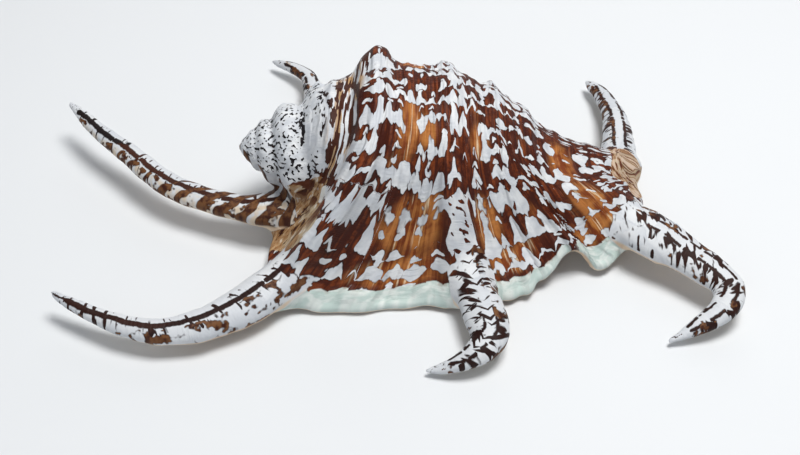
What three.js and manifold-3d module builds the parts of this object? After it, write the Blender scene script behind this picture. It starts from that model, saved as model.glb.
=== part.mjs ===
// A spider conch shell, lying on its aperture: a low knobbed spire at -X, a large body whorl whose
// outer lip flares towards -Y, and six hooked digits. The shell grew as one piece, so it is one solid.
// Millimetres, +Z up, +X towards the front (siphonal) end of the shell.
import * as THREE from "three";
import { mergeVertices } from "three/addons/utils/BufferGeometryUtils.js";
import Module from "manifold-3d";

const vec = (x, y, z) => new THREE.Vector3(x, y, z);
const rad = THREE.MathUtils.degToRad;
const { lerp, smoothstep } = THREE.MathUtils;
const FULL_TURN = 2 * Math.PI;

// Coiling axis: it sinks from the apex of the spire towards the front. A turn round it is counted from
// +Y over +Z, the way the shell grows.
const APEX = vec(-47, 0, 24.3);
const AXIS_DROP = 0.085; // fall of the axis for each millimetre of its length

// Body whorl and lip. Station by station from the spire to the front, a cord of the shell runs from the
// dome (its place on the axis and the whorl's radius there) over the back to a point of the lip's edge.
const STATIONS = [
  { dome: [-31.5, 9.5], lip: vec(-32, -7, 10) },
  { dome: [-26.5, 14.6], lip: vec(-36, -11, 7.5) },
  { dome: [-21, 19.6], lip: vec(-36.5, -17, 5.5) },
  { dome: [-14, 22.6], lip: vec(-37, -25, 4) },
  { dome: [-7.2, 26.0], lip: vec(-38, -43, 3) },
  { dome: [-2, 26.7], lip: vec(-26, -43, 2) },
  { dome: [3, 26.7], lip: vec(-12, -42, 1.4) },
  { dome: [8, 26.4], lip: vec(0, -41, 1.4) },
  { dome: [13, 26.0], lip: vec(13, -42, 2) },
  { dome: [18, 24.9], lip: vec(25, -40.5, 2.5) },
  { dome: [22.5, 23.0], lip: vec(35, -36.8, 2) },
  { dome: [27, 21.4], lip: vec(42, -30, 6) },
  { dome: [31.5, 19.0], lip: vec(48.7, -25, 11) },
  { dome: [36.5, 16.0], lip: vec(55.5, -28, 3) },
  { dome: [43, 11.0], lip: vec(63, -24, 4.5) },
  { dome: [51, 8.1], lip: vec(69, -18, 7) },
  { dome: [59, 6.7], lip: vec(71, -9, 9) },
  { dome: [66, 5.8], lip: vec(71, -3, 10) },
];
const WHORL_GROWTH = 0.125; // relative growth of the whorl's radius for each radian of turn
const DOME_TURN = rad(45); // turn at which the stations give the radius
const WHORL_START = rad(-92); // turn where the underside runs into the whorl
const CREST = rad(110); // turn where the back leaves the whorl for the lip
const LIP_RADIUS = 1.5; // half the thickness of the lip's edge
// Pull of the ends of the two curves that make the back and the underside of the lip, as a share of the
// distance they span, and how steeply they rise from the lip's edge and past the belly.
const BACK = { crestPull: 0.42, edgePull: 0.33, edgeRise: 0.55 };
const UNDERSIDE = { edgePull: 0.35, edgeRise: 0.8, bellyPull: 0.3, bellyRise: 0.2 };

// Ridges that run over the back, placed and measured in stations. Each rises by so many millimetres on its
// way to the lip and has knobs round the dome, each a turn in degrees and a height.
const RIDGES = [
  { at: 4.05, width: 0.85, rise: 4.6, knobs: [[58, 5.2], [102, 3.0], [8, 2]] },
  { at: 8.1, width: 0.7, rise: 4.6, knobs: [[52, 2.4], [94, 1.8], [8, 1.2]] },
  { at: 11, width: 0.4, rise: 1, knobs: [[50, 2.2], [90, 1.2], [8, 1]] },
  { at: 12.9, width: 0.35, rise: 0.7, knobs: [[50, 0.9], [90, 0.7]] },
  { at: 14.6, width: 1.3, rise: 5, knobs: [] },
];
const KNOB_SPREAD = rad(17);
const RIDGE_RISE_END = 0.6; // share of the back by which a ridge has risen
const RIDGE_FADE_START = 0.7; // share of the back from which it sinks to the lip's edge
const CREASE = { at: 3.05, width: 0.38, depth: 2.2, from: rad(40), to: rad(100) };

// Spire: each whorl is the one before it grown by WHORL_STEP along the axis, and the suture moves on by one
// whorl in one turn. A whorl rises steeply from the suture to its shoulder and then falls off slowly.
const WHORL_STEP = 1.9;
const SUTURE_PHASE = 0.368;
const SPIRE_WIDTH = 1.653; // radius at the suture one millimetre from the apex
const SPIRE_TAPER = 0.72; // power of the distance from the apex by which the radius grows
const SPIRE_LENGTH = 24;
const SPIRE_START = 0.3;
const SHOULDER = { height: 0.27, skew: 0.7 };
const SPIRE_KNOBS = { count: 10, height: 0.05, place: 0.4, spread: 0.16 };

// Digits: bent horns. Each row gives a point of the middle line and the width there, from the tip to the
// root inside the body. The height is a share of the width, for the tip and for the root.
const DIGITS = [
  { place: "upper left", height: [0.85, 0.7], rows: [
    [-104.5, 33, 14, 1.2], [-100.2, 28.2, 13.5, 3.4], [-92.6, 19.7, 13, 5.6], [-82, 10.2, 12, 7],
    [-71.8, 0.5, 11, 7.6], [-62.2, -5.5, 10.5, 8.2], [-47, -11.3, 10.5, 9], [-36, -12, 10.5, 13.5],
    [-20, -9, 12, 15]] },
  { place: "lower left", height: [0.85, 0.7], rows: [
    [-96.4, -42.8, 9, 1.2], [-92.5, -45.6, 8.5, 3.2], [-82, -51, 7.5, 5.2], [-73, -54.3, 7, 6.8],
    [-64, -55.4, 6.5, 8.2], [-54.3, -53.2, 6.5, 10.2], [-46, -48.6, 6.7, 12], [-38, -42.5, 7.4, 13.5],
    [-30, -35, 9.5, 13], [-22, -26, 13, 11]] },
  { place: "middle", height: [0.85, 0.75], rows: [
    [6.7, -65.3, 2, 1.2], [10.7, -65, 2.5, 3.2], [14.9, -64.5, 4, 5.1], [19.2, -63, 5.5, 7.5],
    [22.6, -60.2, 6.5, 9.6], [24.2, -56.8, 7.2, 10.7], [22.5, -47, 7, 11.8], [20.3, -40, 7.6, 12],
    [15.5, -23, 17, 9]] },
  { place: "lower right", height: [0.8, 0.62], rows: [
    [72.9, -55.2, 2, 1.2], [76.6, -53.9, 2.8, 2.8], [80.8, -51.9, 4, 4.8], [85.6, -49.6, 5.5, 6.8],
    [89.6, -46.4, 7, 8.3], [91.2, -42.6, 8, 9.2], [89.8, -38.2, 8.5, 10], [80.6, -29.2, 9.5, 12.4],
    [73.5, -23, 9.8, 15.5], [56, -9, 11, 14]] },
  { place: "upper right", height: [0.85, 0.85], rows: [
    [61.8, 56.2, 4, 1.2], [64, 52.4, 4.5, 4], [66.5, 46, 5.5, 5.8], [68.3, 32, 8, 7.8],
    [67.6, 19.4, 9.6, 9.8], [66.5, 11, 10.5, 12], [64.5, 2, 11.5, 15], [57, -5, 12, 15]] },
  { place: "behind the spire", height: [0.85, 0.85], rows: [
    [-43.5, 67.1, 4, 1.2], [-40.6, 64.8, 4.5, 3], [-36.4, 62.2, 5, 4], [-32.5, 58.6, 5.5, 4.8],
    [-29.6, 53.5, 6, 5.6], [-27.4, 40, 7.2, 7.4], [-25.5, 30, 9, 9], [-14, 8, 14, 14]] },
];

// Aperture: a long slit beside the belly that opens upwards into the hollow of the last whorl. Each row
// gives x, the middle of the slit across, its width and the height of the hollow's roof.
const APERTURE_ROWS = [
  [-36, -15, 3, 7], [-28, -14, 6, 12], [-18, -13, 8.5, 18], [-6, -12.5, 9.5, 24], [8, -12, 10, 25],
  [22, -11, 9.5, 22], [36, -9.5, 8.5, 16], [48, -7, 7, 12], [58, -3, 5, 9], [66, 4, 3, 6],
];
const APERTURE_FLOOR = -8;
const APERTURE_LEAN = 0.3; // shift towards the far side for each millimetre of height

// How finely the skins are divided.
const BODY_RINGS = 46;
const BODY_RING = { arc: 19, back: 12, edge: 4, under: 7 };
const SPIRE_RINGS = 26;
const SPIRE_CROWDING = 1.4; // power by which the spire's rings crowd towards the apex
const SPIRE_SIDES = 36;
const DIGIT_RINGS = 22;
const DIGIT_SIDES = 10;
const APERTURE_SIDES = 14;
const GROUND_SIZE = 400;
const MERGE_DISTANCE = 1e-4;

const wasm = await Module();
wasm.setup();

const bell = (t, middle, width) => Math.exp(-(((t - middle) / width) ** 2));
const smoothCurve = (points) => new THREE.CatmullRomCurve3(points, false, "catmullrom", 0.5);
const axisHeight = (x) => APEX.z - AXIS_DROP * (x - APEX.x);
const outward = (turn) => vec(0, Math.cos(turn), Math.sin(turn));

// A closed skin over rings that all have as many points, its two ends closed to their centres. Seen
// against the direction in which the rings follow each other, each ring turns anticlockwise.
function skin(rings) {
  const around = rings[0].length;
  const centre = (ring) => ring.reduce((sum, p) => sum.add(p), vec(0, 0, 0)).divideScalar(around);
  const points = [...rings.flat(), centre(rings[0]), centre(rings.at(-1))];
  const startCentre = rings.length * around;
  const lastRing = startCentre - around;
  const index = [];
  for (let j = 0; j < around; j++) {
    const next = (j + 1) % around;
    for (let row = 0; row < lastRing; row += around) {
      index.push(row + j, row + next, row + around + next);
      index.push(row + j, row + around + next, row + around + j);
    }
    index.push(startCentre, next, j);
    index.push(startCentre + 1, lastRing + j, lastRing + next);
  }
  return new THREE.BufferGeometry().setFromPoints(points).setIndex(index);
}

// Height of the ridges, knobs and crease over the smooth whorl, at a station, a turn and a share of the back.
function relief(station, turn, share) {
  const { at, width, depth, from, to } = CREASE;
  let height = -depth * bell(station, at, width) * smoothstep(turn, from, to);
  for (const ridge of RIDGES) {
    const risen = smoothstep(share, 0, RIDGE_RISE_END) * (1 - smoothstep(share, RIDGE_FADE_START, 1));
    let along = ridge.rise * risen;
    for (const [knobTurn, size] of ridge.knobs) along += size * bell(turn, rad(knobTurn), KNOB_SPREAD);
    height += along * bell(station, ridge.at, ridge.width);
  }
  return height;
}

const domeCurve = smoothCurve(STATIONS.map(({ dome: [x, radius] }) => vec(x, radius, axisHeight(x))));
const lipCurve = smoothCurve(STATIONS.map(({ lip }) => lip));

// One closed ring of the body: round the whorl from below, over the dome, down the back to the lip,
// round its edge and home along the underside.
function bodyRing(station) {
  const share = station / (STATIONS.length - 1);
  const dome = domeCurve.getPoint(share);
  const lip = lipCurve.getPoint(share);
  const onWhorl = (turn) => {
    const radius = dome.y * Math.exp(WHORL_GROWTH * (turn - DOME_TURN));
    return vec(dome.x, APEX.y, dome.z).addScaledVector(outward(turn), radius);
  };
  const points = [];
  for (let i = 0; i < BODY_RING.arc; i++) {
    const turn = lerp(WHORL_START, CREST, i / BODY_RING.arc);
    points.push(onWhorl(turn).addScaledVector(outward(turn), relief(station, turn, 0)));
  }

  const crest = onWhorl(CREST);
  const edge = lip.clone().setZ(lip.z + LIP_RADIUS);
  const inward = crest.clone().sub(edge).setZ(0).normalize();
  const reach = crest.distanceTo(edge);
  const onwards = vec(0, -Math.sin(CREST), Math.cos(CREST));
  const back = new THREE.CubicBezierCurve3(
    crest,
    crest.clone().addScaledVector(onwards, BACK.crestPull * reach),
    edge.clone().addScaledVector(inward.clone().setZ(BACK.edgeRise), BACK.edgePull * reach),
    edge,
  );
  for (let i = 0; i < BODY_RING.back; i++) {
    const down = i / BODY_RING.back;
    const lift = outward(CREST).lerp(vec(0, -0.35, 1), down).normalize();
    points.push(back.getPoint(down).addScaledVector(lift, relief(station, CREST, down)));
  }

  for (let i = 0; i < BODY_RING.edge; i++) {
    const tilt = Math.PI * (0.5 - i / BODY_RING.edge);
    const round = inward.clone().multiplyScalar(-Math.cos(tilt)).setZ(Math.sin(tilt));
    points.push(lip.clone().addScaledVector(round, LIP_RADIUS));
  }

  const below = lip.clone().setZ(lip.z - LIP_RADIUS);
  const belly = onWhorl(WHORL_START);
  const span = below.distanceTo(belly);
  const underside = new THREE.CubicBezierCurve3(
    below,
    below.clone().addScaledVector(inward.clone().setZ(UNDERSIDE.edgeRise), UNDERSIDE.edgePull * span),
    belly.clone().addScaledVector(vec(0, -UNDERSIDE.bellyPull, UNDERSIDE.bellyRise), span),
    belly,
  );
  for (let i = 0; i < BODY_RING.under; i++) points.push(underside.getPoint(i / BODY_RING.under));
  return points;
}

function bodyGeometry() {
  const step = (STATIONS.length - 1) / (BODY_RINGS - 1);
  return skin(Array.from({ length: BODY_RINGS }, (_, i) => bodyRing(i * step)));
}

function spireRadius(along, turn) {
  const whorls = Math.log(along) / Math.log(WHORL_STEP) - turn / FULL_TURN - SUTURE_PHASE;
  const place = whorls - Math.floor(whorls);
  const shoulder = SHOULDER.height * Math.sin(Math.PI * place ** SHOULDER.skew);
  const { count, height, place: knobPlace, spread } = SPIRE_KNOBS;
  const knobs = height * bell(place, knobPlace, spread) * Math.cos(count * turn);
  return SPIRE_WIDTH * along ** SPIRE_TAPER * (1 + shoulder + knobs);
}

function spireGeometry() {
  const rings = [];
  for (let i = 0; i <= SPIRE_RINGS; i++) {
    const along = lerp(SPIRE_START, SPIRE_LENGTH, (i / SPIRE_RINGS) ** SPIRE_CROWDING);
    const x = APEX.x + along;
    const ring = [];
    for (let j = 0; j < SPIRE_SIDES; j++) {
      const turn = (FULL_TURN * j) / SPIRE_SIDES;
      ring.push(vec(x, APEX.y, axisHeight(x)).addScaledVector(outward(turn), spireRadius(along, turn)));
    }
    rings.push(ring);
  }
  return skin(rings);
}

function digitGeometry({ rows, height: [tipHeight, rootHeight] }) {
  const line = smoothCurve(rows.map(([x, y, z]) => vec(x, y, z)));
  const girth = smoothCurve(rows.map(([, , , width]) => vec(width, 0, 0)));
  const rings = [];
  for (let i = 0; i <= DIGIT_RINGS; i++) {
    const share = i / DIGIT_RINGS;
    const halfWidth = girth.getPoint(share).x / 2;
    const halfHeight = halfWidth * lerp(tipHeight, rootHeight, share);
    const across = vec(0, 0, 1).cross(line.getTangent(share)).normalize();
    const ring = [];
    for (let j = 0; j < DIGIT_SIDES; j++) {
      const turn = (FULL_TURN * j) / DIGIT_SIDES;
      const offset = across.clone().multiplyScalar(halfWidth * Math.cos(turn));
      ring.push(line.getPoint(share).add(offset.setZ(halfHeight * Math.sin(turn))));
    }
    rings.push(ring);
  }
  return skin(rings);
}

function apertureGeometry() {
  return skin(APERTURE_ROWS.map(([x, y, width, roof]) => {
    const halfHeight = (roof - APERTURE_FLOOR) / 2;
    return Array.from({ length: APERTURE_SIDES }, (_, j) => {
      const turn = (FULL_TURN * j) / APERTURE_SIDES;
      const z = APERTURE_FLOOR + halfHeight * (1 + Math.sin(turn));
      return vec(x, y + (width / 2) * Math.cos(turn) + APERTURE_LEAN * Math.max(z, 0), z);
    });
  }));
}

// The ground that has worn the lowest places flat.
const groundGeometry = () =>
  new THREE.BoxGeometry(GROUND_SIZE, GROUND_SIZE, GROUND_SIZE).translate(0, 0, -GROUND_SIZE / 2);

function solid(geometry) {
  geometry.deleteAttribute("normal");
  geometry.deleteAttribute("uv");
  const merged = mergeVertices(geometry, MERGE_DISTANCE);
  const vertProperties = merged.getAttribute("position").array;
  const triVerts = new Uint32Array(merged.index.array);
  return new wasm.Manifold(new wasm.Mesh({ numProp: 3, vertProperties, triVerts }));
}

// The shell in one piece, its footprint centred on the origin.
function shellGeometry() {
  let shell = solid(bodyGeometry()).add(solid(spireGeometry()));
  for (const digit of DIGITS) shell = shell.add(solid(digitGeometry(digit)));
  shell = shell.subtract(solid(apertureGeometry())).subtract(solid(groundGeometry()));
  const { vertProperties, triVerts } = shell.getMesh();
  const geometry = new THREE.BufferGeometry();
  geometry.setAttribute("position", new THREE.BufferAttribute(vertProperties, 3));
  geometry.setIndex(new THREE.BufferAttribute(triVerts, 1));
  geometry.computeBoundingBox();
  const middle = geometry.boundingBox.getCenter(vec(0, 0, 0));
  return geometry.translate(-middle.x, -middle.y, 0);
}

// Shell surface: hard lime with a dull polish.
const shellMaterial = () =>
  new THREE.MeshStandardMaterial({ color: 0xb9a48e, roughness: 0.4, metalness: 0 });

const shellMesh = new THREE.Mesh(shellGeometry(), shellMaterial());
shellMesh.name = "shell";

const conch = new THREE.Group();
conch.add(shellMesh);
export default conch;
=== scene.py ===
# A spider conch shell lying on its aperture. The animal laid it down as one piece, so it is one mesh here
# too: whorl, spire, digits and aperture are worked out one after another and grown together.
import math

import bpy
import numpy as np
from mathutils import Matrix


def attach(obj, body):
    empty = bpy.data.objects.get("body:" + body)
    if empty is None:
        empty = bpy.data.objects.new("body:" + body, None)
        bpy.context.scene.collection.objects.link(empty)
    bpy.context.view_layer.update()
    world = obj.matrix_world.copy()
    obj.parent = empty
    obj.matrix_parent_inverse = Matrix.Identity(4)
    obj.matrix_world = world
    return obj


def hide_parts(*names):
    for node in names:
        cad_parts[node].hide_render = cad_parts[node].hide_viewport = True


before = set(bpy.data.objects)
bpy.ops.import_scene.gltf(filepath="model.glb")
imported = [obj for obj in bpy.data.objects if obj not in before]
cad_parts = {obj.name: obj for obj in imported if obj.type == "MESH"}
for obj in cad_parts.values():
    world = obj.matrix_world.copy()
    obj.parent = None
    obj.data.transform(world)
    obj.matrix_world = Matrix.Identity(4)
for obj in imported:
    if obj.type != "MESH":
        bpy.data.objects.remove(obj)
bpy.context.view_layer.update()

# Camera and studio. The camera looks down at the shell from the front at 45 degrees. The floor is a matt pale
# sheet, the light a large soft panel overhead, a little to the right and in front.
TARGET = (0.004575, -0.009294, 0.0)
DISTANCE = 0.3806
ELEVATION = math.radians(45)
WIDTH_OF_VIEW = math.radians(35)

camera = bpy.data.objects.new("camera", bpy.data.cameras.new("camera"))
camera.data.sensor_width = 36
camera.data.lens = 18 / math.tan(WIDTH_OF_VIEW / 2)
camera.data.clip_start = 0.01
camera.location = (
    TARGET[0],
    TARGET[1] - DISTANCE * math.cos(ELEVATION),
    TARGET[2] + DISTANCE * math.sin(ELEVATION),
)
camera.rotation_euler = (math.pi / 2 - ELEVATION, 0, 0)
bpy.context.scene.collection.objects.link(camera)
bpy.context.scene.camera = camera
bpy.context.scene.view_settings.view_transform = "Standard"


def panel(name, place, target, size, power, colour):
    """A square soft light of a size in metres and a power in watts, turned from its place to a target."""
    light = bpy.data.lights.new(name, "AREA")
    light.shape = "SQUARE"
    light.size = size
    light.energy = power
    light.color = colour
    lamp = bpy.data.objects.new(name, light)
    lamp.location = place
    gaze = np.subtract(place, target)
    lamp.rotation_euler = (
        math.atan2(math.hypot(gaze[0], gaze[1]), gaze[2]),
        0,
        math.atan2(gaze[1], gaze[0]) + math.pi / 2,
    )
    bpy.context.scene.collection.objects.link(lamp)


panel("overhead_panel", (0.17, 0.0, 0.74), (0, 0, 0.01), 0.28, 5.7, (1, 0.99, 0.97))
panel("front_panel", (-0.35, -0.7, 0.4), (0, 0, 0.01), 0.6, 1.0, (0.93, 0.97, 1))
panel("back_panel", (0.1, 0.8, 0.5), (0, 0, 0.01), 0.6, 1.2, (1, 1, 1))

world = bpy.data.worlds.new("studio")
world.use_nodes = True
world.node_tree.nodes["Background"].inputs["Color"].default_value = (0.93, 0.95, 1, 1)
world.node_tree.nodes["Background"].inputs["Strength"].default_value = 0.26
bpy.context.scene.world = world

FLOOR_SIZE = 6.0
floor_mesh = bpy.data.meshes.new("floor")
half = FLOOR_SIZE / 2
floor_mesh.from_pydata(
    [(-half, -half, 0), (half, -half, 0), (half, half, 0), (-half, half, 0)], [], [(0, 1, 2, 3)]
)
floor = bpy.data.objects.new("floor", floor_mesh)
bpy.context.scene.collection.objects.link(floor)
floor_paint = bpy.data.materials.new("floor")
floor_paint.use_nodes = True
floor_shader = floor_paint.node_tree.nodes["Principled BSDF"]
floor_shader.inputs["Base Color"].default_value = (0.7, 0.72, 0.74, 1)
floor_shader.inputs["Roughness"].default_value = 0.85
floor_mesh.materials.append(floor_paint)

# Body whorl and lip. Lime laid down turn by turn round a sinking axis; the last half turn flares into a thick
# lip. Knobbed ridges, fine cords and lines of growth run over it. Sizes are millimetres, and stations are the
# rows of dome and lip, counted from the spire.
MIDDLE = np.array([-4.575, 0.294, 0.0])  # middle of the footprint, in the shell's own millimetres
APEX = np.array([-47.0, 0.0, 24.3])
AXIS_DROP = 0.085
# x and the radius from the axis, at the turn DOME_TURN.
DOME = np.array([
    [-31.5, 9.5], [-26.5, 14.6], [-21, 19.6], [-14, 22.6], [-7.2, 26], [-2, 26.7], [3, 26.7], [8, 26.4],
    [13, 26], [18, 24.9], [22.5, 23], [27, 21.4], [31.5, 19], [36.5, 16], [43, 11], [51, 8.1], [59, 6.7],
    [66, 5.8],
])  # fmt: skip
# Middle line of the lip's edge: x, y and z.
LIP = np.array([
    [-32, -7, 10], [-36, -11, 7.5], [-36.5, -17, 5.5], [-37, -25, 4], [-38, -43, 3], [-26, -43, 2],
    [-12, -42, 1.4], [0, -41, 1.4], [13, -42, 2], [25, -40.5, 2.5], [35, -36.8, 2.6], [42, -31.5, 5.4],
    [48.7, -27, 10.6], [55.5, -28, 3.4], [63, -24, 4.5], [69, -18, 7], [71, -9, 9], [71, -3, 10],
])  # fmt: skip
STATIONS = len(DOME) - 1
WHORL_GROWTH = 0.125
DOME_TURN = math.radians(45)
WHORL_START = math.radians(-92)
CREST = math.radians(110)
LIP_RADIUS = 1.5
LIP_WAVE = 0.7
FRILL_AT, FRILL_REACH, FRILL_SIZE, FRILL_PACE = 10.1, 0.6, 0.9, 1.5  # stations, mm and waves in each station
CREST_PULL, LIP_PULL, LIP_RISE = 0.42, 0.33, 0.55  # how far the back bulges, as shares of its span
UNDER_PULL, UNDER_RISE = 0.35, 0.8  # and the underside
CREASE_AT, CREASE_WIDTH, CREASE_DEPTH = 3.05, 0.38, 2.2
KNOB_SPREAD = math.radians(17)
# Station, half width in stations, height, and its knobs: degrees round the whorl and height.
RIDGES = [
    (4.05, 0.85, 4.6, [(58, 5.2), (102, 3.0), (8, 2.0)]),
    (8.1, 0.7, 4.6, [(52, 2.4), (94, 1.8), (8, 1.2)]),
    (11.0, 0.4, 1.0, [(50, 2.2), (90, 1.2), (8, 1.0)]),
    (12.9, 0.35, 0.7, [(50, 0.9), (90, 0.7)]),
    (14.6, 1.3, 5.0, []),
]
ARC_PACE = 0.6  # growth run over one radian of the whorl, where 1 is the run of the back
CORDS = 1.75  # cords in each station
BODY_ROWS = 250
# Points of each ring in its four parts.
BODY_PARTS = {"arc": 150, "back": 150, "edge": 14, "under": 90}


def unit(v):
    """v divided by its length."""
    return v / np.linalg.norm(v, axis=-1, keepdims=True)


def bell(t, middle, width):
    """e to the power of minus the square of the distance from the middle over the width."""
    return np.exp(-(((t - middle) / width) ** 2))


def ease(t, start, end):
    """Runs smoothly from 0 at start to 1 at end: 3t^2 - 2t^3."""
    t = np.clip((t - start) / (end - start), 0, 1)
    return t * t * (3 - 2 * t)


def through(rows, t):
    """The cubic curve through the rows, t counted in rows; each slope is half the step between neighbours."""
    rows = np.asarray(rows, float)
    grown = np.vstack([2 * rows[0] - rows[1], rows, 2 * rows[-1] - rows[-2]])
    i = np.clip(np.floor(t).astype(int), 0, len(rows) - 2)
    w = (t - i)[..., None]
    before, start, end, after = grown[i], grown[i + 1], grown[i + 2], grown[i + 3]
    leave, arrive = (end - before) / 2, (after - start) / 2
    return (
        start
        + leave * w
        + (3 * (end - start) - 2 * leave - arrive) * w**2
        + (2 * (start - end) + leave + arrive) * w**3
    )


def ripple(x, y, seed, waves=9):
    """Smooth noise about 0, mostly within 1: the sum of sine waves, 0.6 to 2 long, in seeded directions."""
    draw = np.random.default_rng(seed)
    total = 0
    for _ in range(waves):
        heading, pace, start = draw.uniform(0, 6.28), draw.uniform(3, 10), draw.uniform(0, 6.28)
        total = total + np.sin(pace * (x * math.cos(heading) + y * math.sin(heading)) + start)
    return total / math.sqrt(waves)


def outward(turn):
    """Direction away from the axis at a turn counted from +Y over +Z."""
    return np.stack([0 * turn, np.cos(turn), np.sin(turn)], -1)


def axis_height(x):
    """Height of the axis, which sinks steadily from the apex."""
    return APEX[2] - AXIS_DROP * (x - APEX[0])


def whorl(station, turn):
    """A point of the smooth whorl: the dome's radius there, grown by e^(growth x turn), out from the axis."""
    dome = through(np.column_stack([DOME, axis_height(DOME[:, 0])]), station)
    radius = dome[..., 1:2] * np.exp(WHORL_GROWTH * (turn - DOME_TURN))[..., None]
    centre = np.stack([dome[..., 0], 0 * turn, dome[..., 2]], -1)
    return centre + outward(turn) * radius


def relief(station, turn, share):
    """Height over the smooth whorl: bells over station and turn for the crease, the ridges and their knobs,
    cosine waves for the cords, and noise for wrinkles and for the folds of the lip."""
    height = -CREASE_DEPTH * bell(station, CREASE_AT, CREASE_WIDTH)
    height = height * ease(turn, math.radians(40), math.radians(100))
    for at, width, rise, knobs in RIDGES:
        along = rise * ease(share, 0, 0.6) * (1 - ease(share, 0.7, 1))
        for degrees, size in knobs:
            along = along + size * bell(turn, math.radians(degrees), KNOB_SPREAD)
        height = height + along * np.exp(-(np.abs((station - at) / width) ** 2.7))
    bent = station + 0.1 * ripple(station * 0.3, share, 3)
    cords = 0.24 * np.cos(2 * math.pi * CORDS * bent) + 0.2 * np.cos(2 * math.pi * 0.83 * bent + 1.3)
    cords = cords * (1 + 0.8 * ease(share, 0.3, 0.9))
    cords = cords + 0.16 * ripple(station * 0.5, turn * 2.4 + share * 4, 13)
    wrinkles = 0.3 * ripple(station * 0.9, share * 6 + turn * 3, 5)
    wrinkles = wrinkles * bell(station, 2.6, 0.9) * ease(share, 0.3, 0.6)
    rim = 0.5 * bell(share, 0.955, 0.035) - 0.35 * bell(share, 0.9, 0.02)
    rim = rim * (1 + 0.4 * ripple(station * 0.7, share, 8))
    folds = 0.6 * ripple(station * 0.9, share * 2, 8, 5) * bell(share, 1, 0.12)
    return height + (cords + wrinkles) * ease(station, 0.5, 2) + rim + folds


def cubic(a, b, c, d, t):
    """The Bezier curve from a to d, pulled by b and c."""
    t = t[..., None]
    return a * (1 - t) ** 3 + 3 * b * t * (1 - t) ** 2 + 3 * c * t * t * (1 - t) + d * t**3


def body_skin():
    """Rings over the stations: round the whorl, down the back to the lip, round its edge and home below.
    Gives the points and, for each, the station, the run of growth and how far it lies on the underside."""
    station, column = np.meshgrid(
        np.linspace(0, STATIONS, BODY_ROWS), np.arange(sum(BODY_PARTS.values())), indexing="ij"
    )
    arc, back, edge, under = np.cumsum(list(BODY_PARTS.values()))
    lip = through(LIP, station[:, 0])
    wave = LIP_WAVE * ripple(station[:, 0] * 0.75, 0, 17, 5) * ease(station[:, 0], 3, 4.5)
    frill = FRILL_SIZE * np.sin(2 * math.pi * FRILL_PACE * station[:, 0])
    wave = wave + frill * bell(station[:, 0], FRILL_AT, FRILL_REACH)
    lip = (lip + np.stack([0 * wave, -wave, 0.5 * np.abs(wave)], -1))[:, None]
    crest = whorl(station[:, 0], np.full(BODY_ROWS, CREST))[:, None]
    belly = whorl(station[:, 0], np.full(BODY_ROWS, WHORL_START))[:, None]

    turn = WHORL_START + (CREST - WHORL_START) * np.minimum(column / arc, 1)
    share = np.clip((column - arc) / BODY_PARTS["back"], 0, 1)
    up = np.array([0, 0, 1.0])
    top_of_edge = lip + LIP_RADIUS * up
    inward = unit((crest - top_of_edge) * [1, 1, 0])
    reach = np.linalg.norm(crest - top_of_edge, axis=-1, keepdims=True)
    onwards = np.array([0, -math.sin(CREST), math.cos(CREST)])
    spot = cubic(
        crest,
        crest + onwards * CREST_PULL * reach,
        top_of_edge + (inward + LIP_RISE * up) * LIP_PULL * reach,
        top_of_edge,
        share,
    )
    leaning = outward(np.full_like(share, CREST)) * (1 - share[..., None])
    lift = unit(leaning + np.array([0, -0.35, 1]) * share[..., None])
    points = spot + lift * relief(station, turn, share)[..., None]
    on_whorl = whorl(station, turn) + outward(turn) * relief(station, turn, share)[..., None]
    points = np.where((column < arc)[..., None], on_whorl, points)

    tilt = math.pi * (0.5 - (column - back) / BODY_PARTS["edge"])[..., None]
    rounded = lip + LIP_RADIUS * (np.sin(tilt) * up - np.cos(tilt) * inward)
    points = np.where((column >= back)[..., None], rounded, points)

    low = lip - LIP_RADIUS * up
    span = np.linalg.norm(low - belly, axis=-1, keepdims=True)
    home = np.clip((column - edge) / BODY_PARTS["under"], 0, 1)
    below = cubic(
        low,
        low + (inward + UNDER_RISE * up) * UNDER_PULL * span,
        belly + np.array([0, -0.3, 0.2]) * span,
        belly,
        home,
    )
    points = np.where((column >= edge)[..., None], below, points)
    growth = np.where(column < arc, ARC_PACE * (turn - CREST), share)
    underside = ease(column, back + 2, edge) + 1 - ease(turn, WHORL_START + 0.25, WHORL_START + 0.9)
    return points, np.stack([station, growth, np.clip(underside, 0, 1)], -1)


def store(mesh, title, values):
    """Keeps an array of vectors as an attribute of the mesh's vertices."""
    layer = mesh.attributes.new(title, "FLOAT_VECTOR", "POINT")
    layer.data.foreach_set("vector", values.astype(np.float32).ravel())


def skinned(name, points, marks, faces):
    """An object of points and faces. Every vertex keeps its own place and its marks as attributes, to be read
    from the surface later."""
    mesh = bpy.data.meshes.new(name)
    mesh.from_pydata(((points - MIDDLE) / 1000).tolist(), [], faces)
    store(mesh, f"{name}_at", points)
    store(mesh, f"{name}_marks", marks)
    piece = bpy.data.objects.new(name, mesh)
    bpy.context.scene.collection.objects.link(piece)
    return piece


def strips(count, around):
    """Four-sided faces between neighbouring rings of points, all round."""
    here = np.arange(count * around).reshape(count, around)
    beside = np.roll(here, -1, 1)
    return np.stack([here[:-1], beside[:-1], beside[1:], here[1:]], -1).reshape(-1, 4)


def closed_mesh(name, rings, marks):
    """Strips of faces over the rings, with a fan to the middle at either end."""
    count, around = rings.shape[:2]
    far = count * around
    fans = [(far, (k + 1) % around, k) for k in range(around)]
    fans += [(far + 1, far - around + k, far - around + (k + 1) % around) for k in range(around)]
    points = np.concatenate([rings.reshape(-1, 3), rings[[0, -1]].mean(1)])
    marks = np.concatenate([marks.reshape(-1, 3), marks[[0, -1]].mean(1)])
    return skinned(name, points, marks, strips(count, around).tolist() + fans)


body = closed_mesh("body", *body_skin())

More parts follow.
